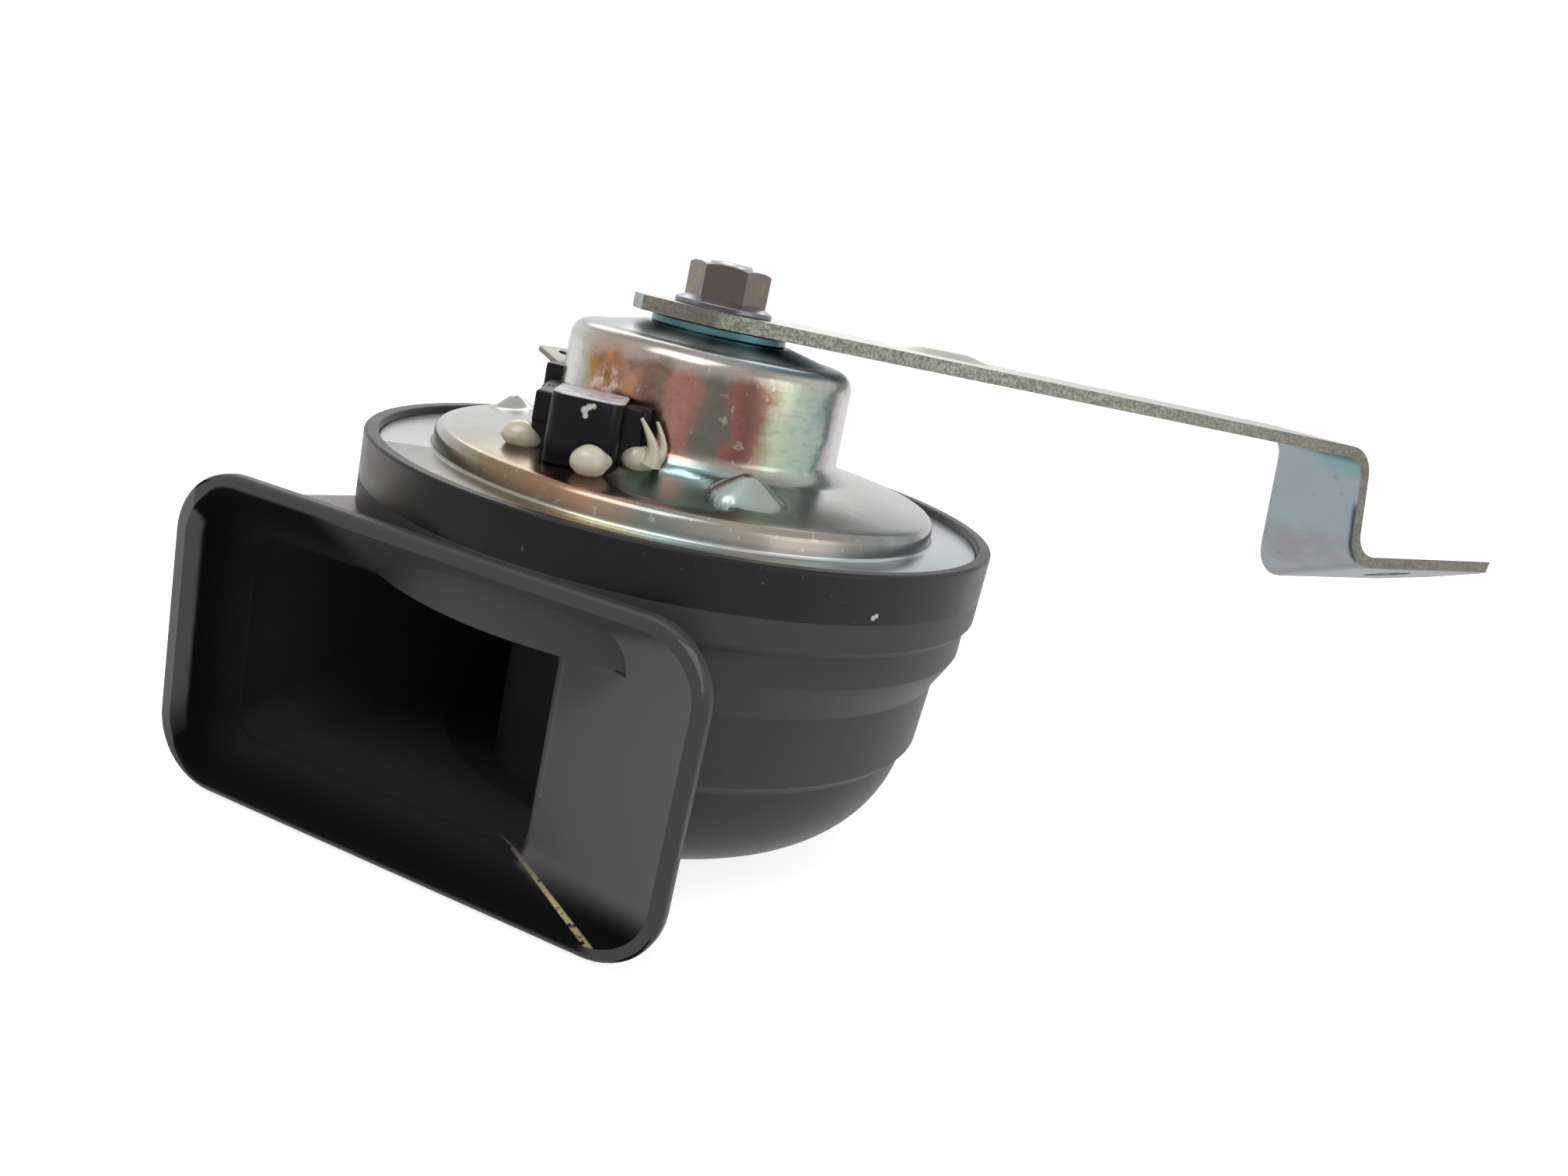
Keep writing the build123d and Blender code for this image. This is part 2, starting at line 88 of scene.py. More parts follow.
class Graph:
    """A node tree, with short names for the nodes that the looks are built from.

    A mask is a socket that is 1 where something shows and 0 elsewhere.
    """

    def __init__(self, owner):
        owner.use_nodes = True
        self.owner, self.tree = owner, owner.node_tree
        self.bsdf = self.tree.nodes.get("Principled BSDF")

    def node(self, kind, **values):
        n = self.tree.nodes.new(kind)
        for key, v in values.items():
            setattr(n, key, v)
        return n

    def feed(self, socket, value):
        """Link a socket to another, or set it to a number, vector or colour."""
        if isinstance(value, bpy.types.NodeSocket):
            self.tree.links.new(value, socket)
        elif socket.type == "RGBA":
            socket.default_value = (*value, 1)
        else:
            socket.default_value = value

    def math(self, op, *values, clamp=False):
        n = self.node("ShaderNodeMath", operation=op, use_clamp=clamp)
        for socket, v in zip(n.inputs, values):
            self.feed(socket, v)
        return n.outputs[0]

    def vector(self, op, *values):
        n = self.node("ShaderNodeVectorMath", operation=op)
        for socket, v in zip(n.inputs, values):
            self.feed(socket, v)
        return n.outputs

    def chain(self, op, first, *others):
        for v in others:
            first = self.math(op, first, v)
        return first

    def mul(self, *values):
        return self.chain("MULTIPLY", *values)

    def most(self, *values):
        return self.chain("MAXIMUM", *values)

    def add(self, a, b):
        return self.math("ADD", a, b)

    def sub(self, a, b):
        return self.math("SUBTRACT", a, b)

    def mul_add(self, a, b, c):
        return self.math("MULTIPLY_ADD", a, b, c)

    def flip(self, mask):
        return self.sub(1.0, mask)

    def hypot(self, x, y):
        return self.math("POWER", self.add(self.mul(x, x), self.mul(y, y)), 0.5)

    def step(self, value, low, high):
        """0 below low, 1 above high, smooth between; low above high turns it over."""
        n = self.node("ShaderNodeMapRange", interpolation_type="SMOOTHSTEP")
        self.feed(n.inputs["Value"], value)
        turned = low > high
        n.inputs["From Min"].default_value = min(low, high)
        n.inputs["From Max"].default_value = max(low, high)
        n.inputs["To Min"].default_value = 1.0 if turned else 0.0
        n.inputs["To Max"].default_value = 0.0 if turned else 1.0
        return n.outputs["Result"]

    def blend(self, mask, a, b):
        """Colour a, and b where the mask is 1; a colour is a tuple or a socket."""
        n = self.node("ShaderNodeMix", data_type="RGBA")
        for i, v in ((0, mask), (6, a), (7, b)):
            self.feed(n.inputs[i], v)
        return n.outputs[2]

    def tint(self, mask, share, base, colour):
        """Base with some share of a colour where the mask is 1."""
        return self.blend(self.mul(mask, share), base, colour)

    def ramp(self, value, stops):
        """Colours along a value's range, each stop as (value, colour)."""
        lo, hi = stops[0][0], stops[-1][0]
        m = self.node("ShaderNodeMapRange")
        self.feed(m.inputs["Value"], value)
        m.inputs["From Min"].default_value = lo
        m.inputs["From Max"].default_value = hi
        r = self.node("ShaderNodeValToRGB")
        el = r.color_ramp.elements
        el[0].position, el[0].color = 0.0, (*stops[0][1], 1)
        el[1].position, el[1].color = 1.0, (*stops[-1][1], 1)
        for v, colour in stops[1:-1]:
            el.new((v - lo) / (hi - lo)).color = (*colour, 1)
        self.feed(r.inputs["Fac"], m.outputs["Result"])
        return r.outputs["Color"]

    def bands(self, value, *stops):
        """Colours along a value's range, each stop as (value, red, green, blue) of 255."""
        return self.ramp(value, [(v, lin(*colour)) for v, *colour in stops])

    def grain(self, scale, detail=3, rough=0.6, stretch=(1, 1, 1)):
        """Noise that stays with the part, from 0 to 1."""
        tc = self.node("ShaderNodeTexCoord")
        mp = self.node("ShaderNodeMapping")
        self.feed(mp.inputs["Scale"], stretch)
        self.feed(mp.inputs["Vector"], tc.outputs["Object"])
        n = self.node("ShaderNodeTexNoise")
        self.feed(n.inputs["Scale"], scale)
        self.feed(n.inputs["Detail"], detail)
        self.feed(n.inputs["Roughness"], rough)
        self.feed(n.inputs["Vector"], mp.outputs["Vector"])
        return n.outputs["Fac"]

    def place(self, turn_deg=0.0):
        """x, y and z in millimetres about the horn axis, turned about it, and the vector."""
        turn = math.radians(turn_deg)
        tc = self.node("ShaderNodeTexCoord")
        mp = self.node("ShaderNodeMapping")
        mp.inputs["Scale"].default_value = (1 / MM,) * 3
        mp.inputs["Rotation"].default_value = (0, 0, turn)
        mp.inputs["Location"].default_value = Matrix.Rotation(turn, 3, "Z") @ AX / -MM
        self.feed(mp.inputs["Vector"], tc.outputs["Object"])
        sep = self.node("ShaderNodeSeparateXYZ")
        self.feed(sep.inputs["Vector"], mp.outputs["Vector"])
        return (*sep.outputs, mp.outputs["Vector"])

    def to_line(self, vec, p0, p1):
        """Distance from a line, and how far along it from p0 to p1."""
        span = Vector(p1) - Vector(p0)
        across = span.normalized()
        off = self.vector("SUBTRACT", vec, Vector(p0))[0]
        far = self.vector("LENGTH", self.vector("CROSS_PRODUCT", off, across)[0])["Value"]
        return far, self.vector("DOT_PRODUCT", off, across / span.length)["Value"]

    def near(self, vec, p, radius):
        """Mask of a small ball about p."""
        return self.step(self.vector("DISTANCE", vec, p)["Value"], radius, radius * 0.6)

    def facing(self, direction, low, high):
        """Mask of the surfaces that face a direction fixed on the part."""
        geo = self.node("ShaderNodeNewGeometry")
        dot = self.vector("DOT_PRODUCT", geo.outputs["Normal"], Vector(direction).normalized())
        return self.step(dot["Value"], low, high)

    def surface(self, colour, rough, metallic=None, specular=None):
        for name, v in (("Base Color", colour), ("Roughness", rough), ("Metallic", metallic),
                        ("Specular IOR Level", specular)):
            if v is not None:
                self.feed(self.bsdf.inputs[name], v)

    def bump(self, height, strength, depth_mm):
        b = self.node("ShaderNodeBump")
        self.feed(b.inputs["Strength"], strength)
        self.feed(b.inputs["Distance"], depth_mm * MM)
        self.feed(b.inputs["Height"], height)
        self.feed(self.bsdf.inputs["Normal"], b.outputs["Normal"])


def material(name):
    return Graph(bpy.data.materials.new(name))


def two_tone(name, colours, rough, blotch, fine, relief, metallic=None):
    """Plain look, its colour and roughness each a ramp over noise."""
    g = material(name)
    grain = g.grain(*fine, FINE)
    g.surface(g.ramp(g.grain(*blotch, FINE), colours),
              g.ramp(grain, [(v, (r,) * 3) for v, r in rough]), metallic)
    g.bump(grain, *relief)
    return g


def plastic(name, dark, light, rough):
    return two_tone(name, [(0.3, dark), (0.75, light)], [(0.3, rough - 0.06), (0.7, rough + 0.08)],
                    (30, 5), (2200, 3), (0.12, 0.08))


def steel(name, dark, light, rough):
    return two_tone(name, [(0.3, dark), (0.7, light)], [(0.3, rough - 0.05), (0.7, rough + 0.07)],
                    (18, 4), (900, 4), (0.08, 0.05), 1.0)


# trumpet: colours of the flare are laid out in a frame in which the mouth faces -y
g = black = material("black_plastic")
kx, ky, kz, _ = g.place(MOUTH_TURN)
flag = g.node("ShaderNodeAttribute", attribute_name="inside").outputs["Fac"]
base = g.blend(g.grain(40, 4), lin(62, 60, 60), lin(72, 70, 70))
# distance from the mouth's outline, a rounded rectangle, below 0 within it
qx, qz = (g.sub(g.math("ABSOLUTE", g.sub(k, (hi + lo) / 2)), (hi - lo) / 2 - MOUTH_CORNER)
          for k, lo, hi in ((kx, MOUTH_LEFT, MOUTH_RIGHT), (kz, MOUTH_LOW, MOUTH_TOP)))
from_edge = g.add(g.hypot(g.most(qx, 0.0), g.most(qz, 0.0)),
                  g.math("MINIMUM", g.most(qx, qz), 0.0))
from_edge = g.sub(from_edge, MOUTH_CORNER)
rim_w = g.mul_add(g.step(kz, MOUTH_LOW + 3.7, MOUTH_LOW + 6.7), 0.7, 0.85)
rim_w = g.mul_add(g.step(kx, MOUTH_LEFT + 6.0, MOUTH_LEFT + 3.0), 0.5, rim_w)
front = g.mul(g.step(ky, MOUTH_Y + 0.5, MOUTH_Y + 0.1),
              g.step(g.add(from_edge, rim_w), 0.25, -0.25),
              g.step(kx, MOUTH_RIGHT - 6.9, MOUTH_RIGHT - 10.4))
# shelf under the drum, and the right-hand panel, both lit, so kept out of the painted shade inside
ledge = g.mul(g.step(kz, -9.7, -9.3), g.step(kx, -28.0, -20.0))
drum_edge = g.mul(g.step(g.hypot(kx, ky), 44.3, 44.0), g.step(kz, -9.9, -9.5))
panel = g.mul(g.step(g.mul_add(ky, 2.3, kx), -86.0, -82.0), g.step(kx, 3.4, 4.8),
              g.flip(drum_edge), g.step(g.mul_add(kx, -0.2, kz), -43.0, -38.5), flag)
# painted highlight: a pale band along the mouth's left rim
lit_rim = g.mul(g.step(ky, MOUTH_Y + 2.5, MOUTH_Y + 1.7),
                g.step(kx, MOUTH_LEFT + 3.0, MOUTH_LEFT + 2.5),
                g.step(kz, MOUTH_LOW + 3.2, MOUTH_LOW + 12.7))
inside = g.mul(g.most(flag, front), g.flip(ledge), g.flip(panel), g.flip(lit_rim))
base = g.tint(lit_rim, 0.9, base, lin(104, 102, 102))
# painted light: the right-hand panel is made paler
base = g.blend(panel, base, lin(100, 98, 98))
# upward faces on the left, behind the lip, are made paler
pale_upward = g.mul(g.facing((0, 0, 1), 0.8, 0.95), g.step(kx, -27.0, -31.0),
              g.step(ky, MOUTH_Y + 2.2, MOUTH_Y + 4.2))
base = g.blend(pale_upward, base, lin(134, 129, 125))
# painted shade: faces inside the mouth, and the rim's inner band, are darkened, near black at the
# mouth and dark grey deeper in
painted_shade_inside = g.blend(g.step(ky, MOUTH_Y + 1.2, MOUTH_Y + 15.7), lin(15, 15, 16), lin(52, 52, 53))
base = g.blend(inside, base, painted_shade_inside)
# pale scuff along the flare's lower right corner
level = g.node("ShaderNodeCombineXYZ")
g.feed(level.inputs["X"], kx)
g.feed(level.inputs["Y"], ky)
far, along = g.to_line(level.outputs[0], (20.2, -46.2, 0), (-1.33, -34.46, 0))
scuff = g.mul(g.step(g.mul_add(along, 0.22, far), 0.42, 0.24), g.step(along, 1.02, 0.9),
              g.step(kz, -36.0, -37.5), flag, g.step(along, -0.02, 0.03),
              g.step(g.grain(1100), 0.34, 0.46))
base = g.blend(scuff, base, g.bands(
    along, (0.0, 150, 138, 110), (0.35, 190, 178, 130), (0.7, 120, 112, 96), (1.0, 70, 68, 64)))
away = g.facing((-0.723, 0.691, -0.1), 0.1, 0.5)
rough = g.math("ADD", g.mul_add(g.grain(1500), 0.16, 0.34), g.mul(inside, 0.4), clamp=True)
g.surface(base, rough,
          specular=g.mul(g.mul_add(inside, -0.20, 0.24), g.mul_add(away, -0.85, 1.0)))
g.bump(g.grain(2600, 3, FINE), 0.10, 0.06)

# cover ring: paler at its ends, painted light and shade by the way its faces turn, with one double
# speck and dust
g = cover = material("cover_plastic")
_, _, cz, cv = g.place()
# painted light and shade: faces turned right are lighter, the front-left darker, and the left end
# paler still
base = g.blend(g.facing((0.95, -0.3, 0.0), -0.2, 0.9), lin(20, 20, 20), lin(60, 60, 60))
lit_left_end = g.mul(g.facing((-0.98, 0.1, 0.0), 0.80, 0.96), g.step(cz, -1.0, 2.0))
base = g.blend(lit_left_end, base, lin(100, 96, 92))
base = g.tint(g.grain(60, 5), 0.35, base, lin(46, 45, 45))
speck = g.most(g.near(cv, (9.95, -43.8, 1.0), 0.42), g.near(cv, (10.35, -43.7, 1.25), 0.36))
base = g.blend(speck, base, lin(205, 205, 205))
base = g.tint(g.step(g.grain(900, 2), 0.70, 0.76), 0.5, base, lin(95, 92, 90))
g.surface(base, g.mul_add(g.grain(180, 4), 0.22, 0.22), specular=0.16)
g.bump(g.grain(1800, 3, FINE), 0.08, 0.06)

# terminal base: white film and a blue cast on the tower's top, and a smear on its front
g = gloss = material("terminal_plastic")
tx, ty, tz, tv = g.place(BASE_TURN)
tower = g.step(ty, -18.0, -19.5)
base = g.blend(g.grain(200), lin(8, 8, 10), lin(20, 20, 22))
film = g.mul(g.step(tz, 17.62, 17.8), g.step(g.grain(420, 4), 0.18, 0.34), tower)
base = g.blend(film, base, lin(205, 204, 202))
blue = g.mul(g.step(tz, 16.6, 17.8), g.step(g.grain(500), 0.46, 0.62),
             g.step(tx, -9.4, -10.4), tower)
base = g.tint(blue, 0.35, base, lin(70, 72, 104))
TOWER_FRONT = -27.3
smear = g.most(*(g.near(tv, (x, TOWER_FRONT, z), size) for x, z, size in (
    (-13.75, 16.35, 0.6), (-13.3, 16.85, 0.5), (-12.8, 17.0, 0.42), (-13.6, 15.7, 0.42))))
smear = g.mul(smear, g.step(g.grain(1300, 2), 0.40, 0.50))
base = g.blend(smear, base, lin(205, 203, 200))
g.surface(base, g.mul_add(g.grain(600), 0.2, 0.14), specular=0.15)

# housing: its zinc takes painted reflections as tints round the horn axis, by angle in degrees
g = zinc = material("zinc_steel")
zx, zy, zz, zv = g.place()
angle = g.mul(g.math("ARCTAN2", zy, zx), math.degrees(1))
radius = g.hypot(zx, zy)
wob = g.sub(g.grain(210, 5, 0.62, (1, 1, 0.8)), 0.5)
bent = g.mul_add(wob, 22.0, angle)
# painted reflections on the cup's wall, by angle round the axis
wall = g.bands(
    bent,
    (-172, 205, 206, 202), (-163, 172, 168, 156), (-156, 158, 122, 76), (-149, 146, 102, 74),
    (-140, 158, 122, 110), (-134, 120, 96, 84), (-127, 118, 104, 92), (-121, 158, 112, 100),
    (-115, 150, 104, 94), (-110, 104, 98, 88), (-104, 96, 96, 90), (-100, 134, 88, 80),
    (-96, 108, 76, 72), (-90, 118, 84, 76), (-86, 138, 130, 108), (-80, 162, 174, 150),
    (-70, 164, 184, 168), (-61, 150, 168, 160), (-56, 104, 118, 116), (-51, 186, 178, 184),
    (-44, 206, 204, 206), (0, 178, 180, 176), (179, 186, 188, 184))
# painted glint: a speckled pale highlight high on the cup's wall
glint = g.mul(g.near(zv, (-17.4, -10.2, 18.2), 3.4), g.step(g.grain(520, 4), 0.40, 0.62))
wall = g.tint(glint, 0.8, wall, lin(214, 190, 186))
# painted reflection: an orange patch high on the cup's wall
orange_reflection = g.mul(g.near(zv, (-16.2, -11.8, 20.6), 4.2), g.step(g.grain(260, 4), 0.44, 0.66))
wall = g.tint(orange_reflection, 0.6, wall, lin(196, 132, 82))
# painted reflection: dark brown streaks on the cup's wall
dark_reflection = g.mul(g.step(g.grain(330, 4), 0.50, 0.62), g.step(angle, -158, -152),
             g.step(angle, -118, -124))
wall = g.tint(dark_reflection, 0.45, wall, lin(86, 66, 52))
# painted highlight: a paler band at the top of the cup's wall
top_highlight = g.step(g.mul_add(wob, 4.0, zz), CUP_Z - 3.3, CUP_Z - 1.5)
wall = g.tint(top_highlight, 0.6, wall, lin(172, 168, 160))
# painted reflection: the foot of the cup's wall is paler on one side
foot_reflection = g.mul(g.step(zz, DOME_Z + 2.8, DOME_Z + 1.0), g.step(angle, -124, -108))
wall = g.tint(foot_reflection, 0.6, wall, lin(168, 172, 160))
drawn = g.mul(g.step(g.grain(260, 4, 0.6, (0.4, 0.4, 7.0)), 0.44, 0.62), g.step(angle, -92, -84))
wall = g.tint(drawn, 0.22, wall, lin(190, 182, 176))
smudge = g.step(g.grain(480, 4, 0.6, (1, 1, 2.4)), 0.50, 0.66)
wall = g.tint(smudge, 0.16, wall, lin(80, 76, 70))
# painted reflections on the cup's top and on the boss, by angle
top = g.bands(
    bent,
    (-180, 138, 140, 136), (-140, 130, 126, 118), (-112, 146, 146, 140), (-96, 124, 136, 138),
    (-84, 84, 104, 112), (-66, 38, 62, 72), (-40, 40, 66, 76), (-10, 110, 126, 130),
    (60, 150, 158, 158), (180, 138, 140, 136))
cone = g.bands(
    bent, (-180, 142, 148, 148), (-140, 160, 166, 168), (-112, 138, 150, 156), (-92, 82, 104, 116),
    (-70, 42, 68, 78), (-30, 60, 88, 98), (60, 120, 134, 138), (180, 142, 148, 148))
top = g.blend(g.step(radius, CUP_R - 3.2, CUP_R - 3.9), top, cone)
cup = g.blend(g.step(zz, CUP_Z - 0.9, CUP_Z - 0.2), wall, top)
# painted reflections on the raised disc, by angle
disc = g.bands(
    bent,
    (-180, 158, 158, 152), (-150, 140, 130, 112), (-137, 142, 118, 98), (-128, 140, 118, 104),
    (-118, 112, 116, 108), (-104, 104, 116, 112), (-88, 118, 116, 106), (-72, 146, 146, 142),
    (-56, 164, 164, 162), (0, 168, 168, 166), (180, 158, 158, 152))
# painted reflection: a teal patch over the scoop
disc = g.tint(g.near(zv, (-9.6, -24.6, 9.0), 10.5), 0.6, disc, lin(128, 158, 158))
# painted highlight: a pale patch over the hill
disc = g.tint(g.near(zv, (-1.6, -26.0, 10.0), 6.4), 0.6, disc, lin(176, 184, 180))
# painted highlight and reflections along the disc's shoulder
shoulder = g.mul(g.step(radius, DISC_R - 2.5, DISC_R - 1.3),
                 g.step(zz, FLANGE_TOP + 0.5, FLANGE_TOP + 1.3))
disc = g.tint(shoulder, 0.8, disc, g.bands(
    bent, (-180, 170, 168, 160), (-152, 120, 104, 76), (-138, 134, 106, 84), (-128, 166, 132, 112),
    (-116, 120, 124, 118), (-100, 158, 150, 138), (-80, 150, 140, 134), (-66, 110, 122, 122),
    (-50, 168, 170, 168), (180, 170, 168, 160)))
# painted reflections on the flange, by angle
flange = g.mul(g.step(radius, DISC_R - 0.1, DISC_R + 0.5),
               g.step(zz, FLANGE_TOP + 1.1, FLANGE_TOP + 0.3))
disc = g.blend(flange, disc, g.bands(
    bent,
    (-180, 124, 124, 120), (-140, 150, 146, 132), (-126, 190, 190, 160), (-112, 176, 192, 192),
    (-96, 190, 186, 182), (-80, 176, 188, 188), (-62, 172, 180, 184), (0, 176, 182, 186),
    (180, 178, 180, 178)))
is_cup = g.mul(g.step(zz, DOME_Z + 0.3, DOME_Z + 1.6), g.step(radius, CUP_R + 4.4, CUP_R + 2.4))
col = g.blend(is_cup, disc, cup)
col = g.tint(g.step(g.grain(700, 4), 0.62, 0.7), 0.25, col, lin(205, 205, 200))
g.surface(col, g.mul_add(g.grain(90, 5), 0.14, 0.17), 1.0)
g.bump(g.grain(420, 4, FINE), 0.05, 0.2)

# washer, in a bluer zinc
g = washer = material("washer_zinc")
g.surface(g.blend(g.grain(260), lin(48, 84, 96), lin(96, 130, 132)), 0.28, 1.0)

# strap: sheet faces in dull zinc, and sides in bare sheared steel
g = strap = material("strap_steel")
sx, sy, sz, _ = g.place()
normal = g.node("ShaderNodeSeparateXYZ")
g.feed(normal.inputs["Vector"], g.node("ShaderNodeNewGeometry").outputs["True Normal"])
side = g.step(g.math("ABSOLUTE", normal.outputs["Y"]), 0.6, 0.68)
up = g.step(normal.outputs["Z"], 0.7, 0.9)
on_web = g.step(sx, 116, 119)
blot = g.grain(70, 4)
face = g.blend(blot, lin(140, 152, 158), lin(160, 172, 176))
purple = g.mul(g.step(sz, 15.5, 10.5), g.step(g.grain(90, 3, 0.6, (1, 1, 2)), 0.38, 0.6))
face = g.tint(purple, 0.7, face, lin(150, 142, 144))
green = g.mul(g.step(sz, 24.0, 26.4), on_web, g.step(sy, 3.0, -5.0))
face = g.tint(green, 0.8, face, lin(118, 160, 162))
dark_strip = g.mul(g.step(g.mul_add(blot, 1.2, sy), -8.3, -9.1), g.step(sz, 8.5, 11.0),
                   g.step(sz, 21.5, 19.0), on_web)
face = g.tint(dark_strip, 0.85, face, lin(48, 52, 60))
# painted shade: faces turned down are darker
face = g.tint(g.facing((0.07, -0.37, -0.93), 0.8, 0.96), 0.8, face, lin(118, 124, 124))
scrape = g.step(g.grain(260, 2, 0.5, (3, 1, 1)), 0.66, 0.72)
face = g.tint(scrape, 0.35, face, lin(110, 118, 122))
# painted sheen: faces turned up are paler
face = g.tint(up, 0.85, face, lin(182, 182, 170))
cut = g.blend(g.step(g.grain(2600, 4, 0.8), 0.36, 0.66), lin(84, 82, 72), lin(184, 187, 172))
wear = g.bands(
    sx, (-14, 124, 118, 112), (-4.6, 108, 98, 90), (-2.2, 150, 152, 140), (40, 148, 150, 138),
    (90, 134, 132, 121), (118, 116, 110, 100), (168, 124, 119, 113))
calm = g.most(g.mul_add(g.step(sx, 40, 122), 0.40, 0.34), g.mul(g.step(sx, -2.6, -4.4), 0.8))
cut = g.blend(calm, cut, wear)
torn = g.step(g.grain(300, 3, 0.6, (1, 1, 4)), 0.42, 0.6)
cut = g.tint(torn, 0.25, cut, lin(84, 82, 72))
g.surface(g.blend(side, face, cut), g.mul_add(side, 0.16, 0.34), g.mul_add(side, -0.25, 1.0))
g.bump(g.grain(1500, 4, FINE), g.mul_add(side, 0.55, 0.06), 0.2)

# nut: yellowed in patches, blue at its flange, painted shade on the face towards the camera
g = nut = material("nut_steel")
_, _, nz, _ = g.place()
col = g.blend(g.grain(220), lin(112, 104, 108), lin(138, 122, 112))
col = g.tint(g.step(g.grain(330), 0.5, 0.66), 0.7, col, lin(142, 126, 92))
col = g.tint(g.step(nz, 32.6, 30.8), 0.6, col, lin(122, 128, 146))
MID_FACE = math.radians(-115.6)
mid_face = g.facing((math.cos(MID_FACE), math.sin(MID_FACE), 0), 0.86, 0.96)
# painted shade on the middle face
col = g.tint(mid_face, 0.75, col, lin(74, 66, 66))
g.surface(col, g.mul_add(g.grain(500, 4), 0.2, 0.22), 1.0)
g.bump(g.grain(700, 4, FINE), 0.12, 0.2)

# sealant: cured cream, glossy and a little translucent
g = seal = material("sealant")
g.surface(g.blend(g.grain(160), lin(196, 186, 162), lin(222, 214, 196)), 0.12, specular=0.5)
g.bsdf.inputs["Subsurface Weight"].default_value = 0.2
g.bsdf.inputs["Subsurface Radius"].default_value = (0.0016, 0.0013, 0.0009)
g.bump(g.grain(260, 3, FINE), 0.15, 0.4)

core = steel("core_steel", (0.45, 0.45, 0.45), (0.52, 0.52, 0.52), 0.35)
spring = steel("spring_steel", (0.5, 0.5, 0.52), (0.58, 0.58, 0.6), 0.3)
brass = steel("contact_brass", (0.70, 0.52, 0.25), (0.78, 0.6, 0.32), 0.3)
tungsten = steel("tungsten", (0.32, 0.32, 0.33), (0.4, 0.4, 0.41), 0.35)
blade = steel("blade_metal", lin(120, 116, 110), lin(140, 137, 130), 0.4)
copper = steel("copper_wire", (0.5, 0.2, 0.08), (0.62, 0.28, 0.12), 0.3)
gasket = plastic("gasket_fibre", (0.05, 0.05, 0.05), (0.09, 0.09, 0.09), 0.8)
nylon = plastic("bobbin_nylon", (0.6, 0.57, 0.48), (0.7, 0.67, 0.58), 0.5)
board = plastic("insulator", (0.25, 0.13, 0.06), (0.34, 0.19, 0.09), 0.5)

use = {
    "snail_body": black, "sound_cover": cover, "gasket_lower": gasket, "gasket_upper": gasket,
    "diaphragm": spring, "housing": zinc, "pole_core_stud": core, "coil_bobbin": nylon,
    "coil_winding": copper, "armature": core, "armature_washer": core, "terminal_base": gloss,
    "blade_terminal": blade, "sealing_bead_left": seal, "sealing_bead_front": seal,
    "sealing_bead_right": seal, "spacer_washer": washer, "bracket": strap, "flange_nut": nut,
    "fixed_contact_arm": brass, "fixed_contact": tungsten, "moving_contact": tungsten,
    "moving_contact_arm": spring, "contact_insulator": board, "contact_pusher": board,
    "contact_base": board, "contact_rivet_a": brass, "contact_rivet_b": brass,
}
for name, look in use.items():
    slots = nodes[name].data.materials
    slots.clear()
    slots.append(look.owner)

# ------------------------------------------------------------ pieces
def solid(name, bm):
    """Object from a mesh in millimetres about the horn axis, not yet in the scene."""
    for v in bm.verts:
        v.co = world_at(*v.co)
    me = bpy.data.meshes.new(name)
    bm.to_mesh(me)
    bm.free()
    return bpy.data.objects.new(name, me)


def dress(ob, look, replaces, sharp):
    """Material, shading and place on the part; edges above sharp degrees stay crisp."""
    ob.data.materials.clear()
    ob.data.materials.append(look.owner)
    ob.data.shade_smooth()
    ob.data.set_sharp_from_angle(angle=math.radians(sharp))
    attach(ob, "root")
    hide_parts(replaces)


def link_piece(name, bm, look, replaces, sharp=35.0):
    """A finished piece of the horn, from a mesh in millimetres about its axis."""
    bmesh.ops.recalc_face_normals(bm, faces=bm.faces[:])
    ob = solid(name, bm)
    scene.collection.objects.link(ob)
    dress(ob, look, replaces, sharp)
    return ob


def band(bm, loop_a, loop_b, closed=True):
    """Faces between two rows of vertices."""
    n = len(loop_a)
    for i in range(n if closed else n - 1):
        j = (i + 1) % n
        bm.faces.new((loop_a[i], loop_a[j], loop_b[j], loop_b[i]))


def cutter(name, centre, axis, radius, length, corners):
    """Round tool for a hole, used up by the boolean."""
    bm = bmesh.new()
    bmesh.ops.create_cone(bm, cap_ends=True, segments=corners, radius1=radius, radius2=radius,
                          depth=length)
    aim = Vector((0, 0, 1)).rotation_difference(Vector(axis)).to_matrix().to_4x4()
    bmesh.ops.transform(bm, matrix=Matrix.Translation(Vector(centre)) @ aim, verts=bm.verts[:])
    return solid(name, bm)


def cut_or_join(ob, tools, operation):
    """Boolean of the piece with each tool, written back into its mesh."""
    for tool in tools:
        scene.collection.objects.link(tool)
        mod = ob.modifiers.new("b", "BOOLEAN")
        mod.operation, mod.solver, mod.object = operation, "EXACT", tool
        depsgraph = bpy.context.evaluated_depsgraph_get()
        new = bpy.data.meshes.new_from_object(ob.evaluated_get(depsgraph))
        ob.modifiers.remove(mod)
        ob.data = new
        bpy.data.objects.remove(tool)


def rounded(corners, steps=7):
    """Outline with its corners rounded: corners are (u, v, radius)."""
    out = []
    for i, (u, v, r) in enumerate(corners):
        p = Vector((u, v))
        if r <= 0:
            out.append((u, v))
            continue
        a = (Vector(corners[i - 1][:2]) - p).normalized()
        b = (Vector(corners[(i + 1) % len(corners)][:2]) - p).normalized()
        half = a.angle(b) / 2
        mid = (a + b).normalized() * (r / math.sin(half)) + p
        touch = r / math.tan(half)
        s0, s1 = p + a * touch - mid, p + b * touch - mid
        w = s0.angle(s1)
        for k in range(steps + 1):
            f = k / steps
            q = mid + (s0 * math.sin((1 - f) * w) + s1 * math.sin(f * w)) / math.sin(w)
            out.append((q.x, q.y))
    return out


